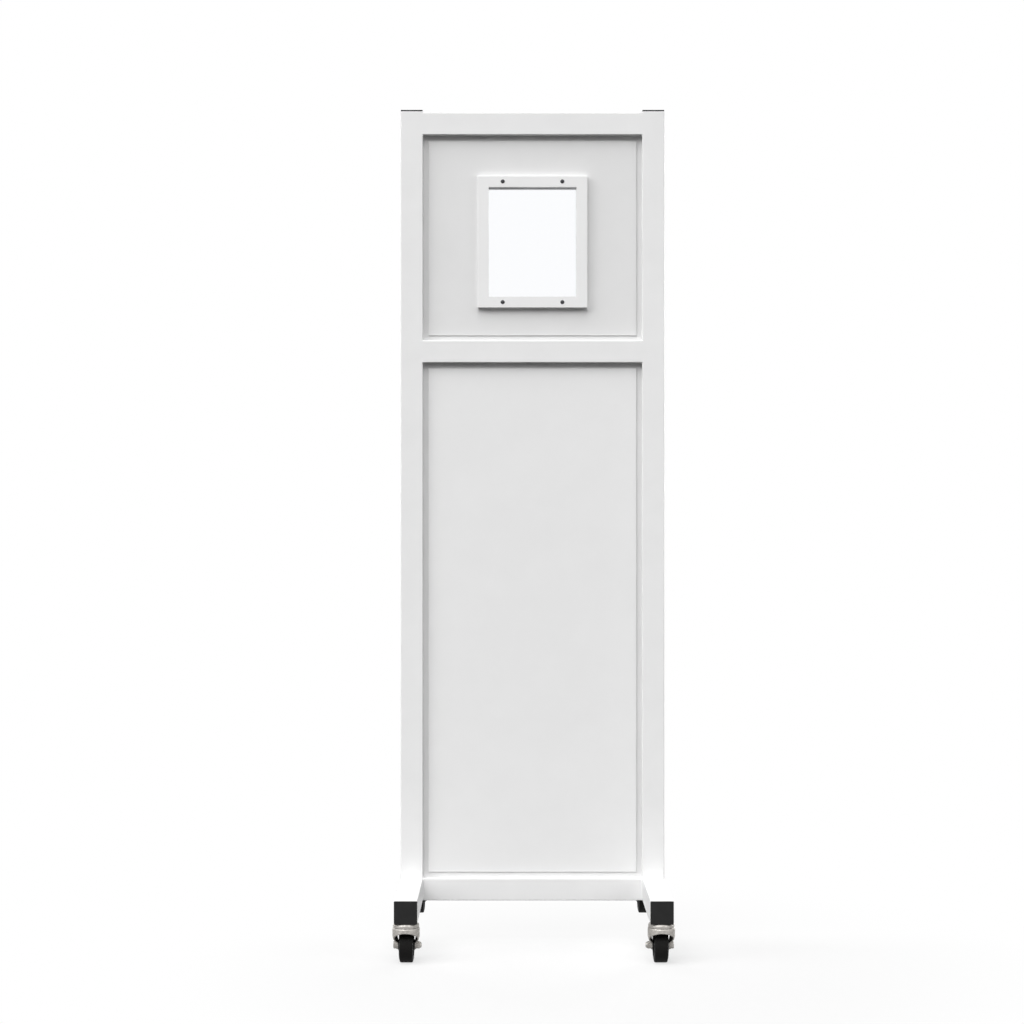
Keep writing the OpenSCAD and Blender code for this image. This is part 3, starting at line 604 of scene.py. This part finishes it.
beads = []
openings = {"lower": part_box("lower_channel"), "upper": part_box("upper_channel")}
leg_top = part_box("left_leg")[1].z
rail_z = (rail_low.z + rail_high.z) / 2
for side_name, side in (("left", -1), ("right", 1)):
    post_x = middle(f"{side_name}_post").x
    inner_x = side * channel_high.x
    for end_name, end, face_y in (("front", -1, post_low.y), ("rear", 1, post_high.y)):
        beads.append(lay_copy(post_bead, f"{side_name}_{end_name}_foot_bead",
                              ((1, 0, 0), (0, -end, 0), (0, 0, 1)), (post_x, face_y, leg_top)))
        beads.append(lay_copy(rail_bead, f"{side_name}_{end_name}_rail_bead",
                              ((0, 0, 1), (0, -end, 0), (-side, 0, 0)), (inner_x, face_y, rail_z)))
        corner_y = face_y - end * (TUBE_CORNER + corner_gap / 2)
        for opening_name, (low, high) in openings.items():
            for level_name, up, level_z in (("low", 1, low.z), ("high", -1, high.z)):
                beads.append(lay_copy(corner_bead,
                                      f"{side_name}_{end_name}_{opening_name}_{level_name}_bead",
                                      ((0, 1, 0), (side, 0, 0), (0, 0, up)), (inner_x, corner_y, level_z)))
for model in (post_bead, rail_bead, corner_bead):
    bpy.data.objects.remove(model)
print("laid", len(beads), "weld beads")

# %% [markdown]
# Each axle bolt is held by a lock nut, which has a nylon ring pressed into its collar. The ring shows as a
# pale dome round the end of the bolt. It starts as a thin torus round the axle, which is flattened
# along the axle until it looks like the lip that the collar was rolled over.

# %% Nylon rings
BOLT_R = 4.75 * MM
RING_TUBE = 0.75 * MM
RING_FLATTENING = 0.5


def nylon():
    """Natural nylon: creamy white, waxy, and slightly see-through, so light spreads in it."""
    material, tree = new_tree("natural_nylon")
    point = object_point(tree)
    cloud = add(tree, "TexNoise", {"Vector": point, "Scale": pattern_scale(2), "Detail": 3})
    tone = add(tree, "ValToRGB", {"Fac": cloud.outputs["Fac"]})
    set_ramp(tone, [(NOISE_LOW, "#D8D4C6"), (NOISE_HIGH, "#E4E1D6")])
    plastic = add(tree, "BsdfPrincipled", {"Base Color": tone.outputs["Color"], "IOR": 1.53,
                                           "Roughness": 0.4, "Subsurface Weight": 0.2,
                                           "Subsurface Scale": 0.5 * MM})
    add(tree, "OutputMaterial", {"Surface": plastic.outputs["BSDF"]})
    return material


ring_nylon = nylon()
for corner in CORNERS:
    nut_low, nut_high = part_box(f"{corner}_axle_nut")
    centre = middle(f"{corner}_axle_nut")
    centre.x = min(nut_low.x, nut_high.x, key=abs)
    bpy.ops.object.select_all(action="DESELECT")
    bpy.ops.mesh.primitive_torus_add(location=centre, rotation=(0, math.pi / 2, 0), major_segments=48,
                                     minor_segments=12, major_radius=BOLT_R + RING_TUBE,
                                     minor_radius=RING_TUBE)
    ring = bpy.context.object
    ring.name = f"{corner}_nylon_ring"
    bpy.ops.object.transform_apply(location=True, rotation=True, scale=True)
    bpy.ops.object.mode_set(mode="EDIT")
    bpy.ops.mesh.select_all(action="SELECT")
    bpy.ops.transform.resize(value=(RING_FLATTENING, 1, 1), center_override=centre)
    bpy.ops.object.mode_set(mode="OBJECT")
    bpy.ops.object.shade_smooth()
    ring.data.materials.append(ring_nylon)
    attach(ring, f"{corner}_caster_fork")
print("nylon rings on", len(CORNERS), "lock nuts")

# %% [markdown]
# The object stands on a plain pale studio floor under plain soft light. The floor's seen brightness comes
# mostly from its own white, as a product shot on white paper does, and a share of it is real diffuse light,
# so the barrier still drops its soft shadow there. That share is largest in front of the barrier and a little
# to its right, small behind it, and nothing far away, so the floor has no horizon. Where the share is large
# the grey paper makes the floor darker even where no lamp is blocked: a painted shadow, with the real one
# inside it. The limits of the fade are measured from the middle of that painted shadow.
# Light that bounces from the floor back to the object sees a darker floor, as in a large room.

# %% Floor
FLOOR_SIZE = 60
WHITE = linear("#FFFFFF")
# Greyer than white under the lamps, so the floor under the share is darker: a painted shadow
PAPER_AND_PAINTED_SHADOW_GREY = "#D6D6D6"
BOUNCE_GREY = "#404040"
# The share of real diffuse light and of the grey paper that paints the shadow: in front of the barrier, and
# behind it as a part of that
SHADOW_SHARE = 0.35
SHARE_BEHIND = 0.2
# Where the share is full and where it ends, from the middle of the painted shadow
PAINTED_SHADOW_CENTRE = (0.2, -0.3, 0)
FADE_FROM = 0.35
FADE_TO = 1.05
FRONT_Y = 0.15
BEHIND_Y = 0.35


def seen_rays(tree):
    """1 for rays that show the background: from the camera, in a mirror or through glass."""
    path = add(tree, "LightPath")
    mirrored = add(tree, "Math", {0: path.outputs["Is Camera Ray"], 1: path.outputs["Is Glossy Ray"]},
                   operation="MAXIMUM")
    seen = add(tree, "Math", {0: mirrored.outputs["Value"], 1: path.outputs["Is Transmission Ray"]},
               operation="MAXIMUM")
    return seen.outputs["Value"]


def painted_and_real_shadow_share(tree):
    """The share of real light at each place of the floor, faded away from the barrier. Under it the grey
    paper paints a soft shadow.
    """
    place = object_point(tree, PAINTED_SHADOW_CENTRE)
    distance = add(tree, "VectorMath", {0: place}, operation="LENGTH")
    near = add(tree, "MapRange", {"Value": distance.outputs["Value"], "From Min": FADE_FROM,
                                  "From Max": FADE_TO, "To Min": SHADOW_SHARE, "To Max": 0.0},
               interpolation_type="SMOOTHSTEP")
    depth = add(tree, "SeparateXYZ", {"Vector": place})
    front = add(tree, "MapRange", {"Value": depth.outputs["Y"], "From Min": FRONT_Y,
                                   "From Max": BEHIND_Y, "To Min": 1.0, "To Max": SHARE_BEHIND},
                interpolation_type="SMOOTHSTEP")
    share = add(tree, "Math", {0: near.outputs["Result"], 1: front.outputs["Result"]},
                operation="MULTIPLY")
    return share.outputs["Value"]


def studio_paper():
    """White floor paper with a painted soft shadow round the real one in front of the barrier, and no
    horizon.
    """
    material, tree = new_tree("matt_white_studio_floor")
    paper = add(tree, "BsdfDiffuse", {"Color": linear(PAPER_AND_PAINTED_SHADOW_GREY)})
    glow = add(tree, "Emission", {"Color": WHITE, "Strength": 1.0})
    seen_floor = add(tree, "MixShader", {"Fac": painted_and_real_shadow_share(tree), 1: glow.outputs["Emission"],
                                         2: paper.outputs["BSDF"]})
    bounce = add(tree, "BsdfDiffuse", {"Color": linear(BOUNCE_GREY)})
    mixed = add(tree, "MixShader", {"Fac": seen_rays(tree), 1: bounce.outputs["BSDF"],
                                    2: seen_floor.outputs["Shader"]})
    add(tree, "OutputMaterial", {"Surface": mixed.outputs["Shader"]})
    return material


bpy.ops.object.select_all(action="DESELECT")
bpy.ops.mesh.primitive_plane_add(size=FLOOR_SIZE)
floor = bpy.context.object
floor.name = "studio_floor"
floor.data.materials.append(studio_paper())
print("floor of", FLOOR_SIZE, "m")

# %% [markdown]
# The world is white where the camera, a glossy surface or the glass sees it, as the paper behind the object
# would be. As a light it is nearly dark, because the lamps below do that work and give the object its form.

# %% World
AMBIENT = 0.02

world = bpy.data.worlds.new("studio")
bpy.context.scene.world = world
world.use_nodes = True
sky_tree = world.node_tree
sky_tree.nodes.clear()
ambient = add(sky_tree, "Background", {"Color": WHITE, "Strength": AMBIENT})
backdrop = add(sky_tree, "Background", {"Color": WHITE, "Strength": 1.0})
sky = add(sky_tree, "MixShader", {"Fac": seen_rays(sky_tree), 1: ambient.outputs["Background"],
                                  2: backdrop.outputs["Background"]})
add(sky_tree, "OutputWorld", {"Surface": sky.outputs["Shader"]})
print("white backdrop, ambient light", AMBIENT)

# %% [markdown]
# The light in the picture comes mostly from above and a little from the left: the rails shade the panels
# below them, and the leg tops are nearly white. Wide sun lamps stand for large softboxes far away:
# their light is even over the whole height of the barrier, and the wide angle makes their shadows
# soft. A sun's level is the brightness it gives a white surface that faces it, which is its energy
# over pi. Two low lamps behind light the back, which the others leave grey.

# %% Lamps
# Name: degrees round from the front to the right, degrees up, width in degrees, level
LAMPS = {
    "overhead_softbox": (-20, 55, 60, 1.13),
    "left_softbox": (-65, 22, 30, 0.40),
    "right_softbox": (55, 20, 30, 0.28),
    "rear_left_softbox": (-145, 7, 24, 0.36),
    "rear_right_softbox": (145, 7, 24, 0.64),
}
for lamp_name, (round_deg, up_deg, width_deg, level) in LAMPS.items():
    bpy.ops.object.select_all(action="DESELECT")
    bpy.ops.object.light_add(type="SUN")
    lamp = bpy.context.object
    lamp.name = lamp_name
    lamp.data.angle = math.radians(width_deg)
    lamp.data.energy = level * math.pi
    turn = math.radians(round_deg)
    up = math.radians(up_deg)
    towards_lamp = Vector((math.sin(turn) * math.cos(up), -math.cos(turn) * math.cos(up), math.sin(up)))
    lamp.rotation_euler = towards_lamp.to_track_quat("Z", "Y").to_euler()
print("lamps:", list(LAMPS))

# %% [markdown]
# The photograph was taken from straight in front, at half the barrier's height, with a long lens, so the
# posts stay parallel and only the legs show depth. The camera stands a little left of the middle, which
# puts the barrier right of the centre of the frame. Its distance and height are real lengths.

# %% Camera and view
CAMERA_X = -47.5 * MM
CAMERA_Z = 990.6 * MM
CAMERA_TO_POSTS = 4.728
LENS_MM = 71.86
SENSOR_MM = 36
SIGHT_LIMIT = 200
LEVEL = (math.pi / 2, 0, 0)

bpy.ops.object.select_all(action="DESELECT")
bpy.ops.object.camera_add(location=(CAMERA_X, post_low.y - CAMERA_TO_POSTS, CAMERA_Z),
                          rotation=LEVEL)
camera = bpy.context.object
camera.name = "photo_camera"
camera.data.lens = LENS_MM
camera.data.sensor_width = SENSOR_MM
camera.data.clip_end = SIGHT_LIMIT
bpy.context.scene.camera = camera
bpy.context.scene.view_settings.view_transform = "Standard"
print("camera at", [round(c, 3) for c in camera.location])
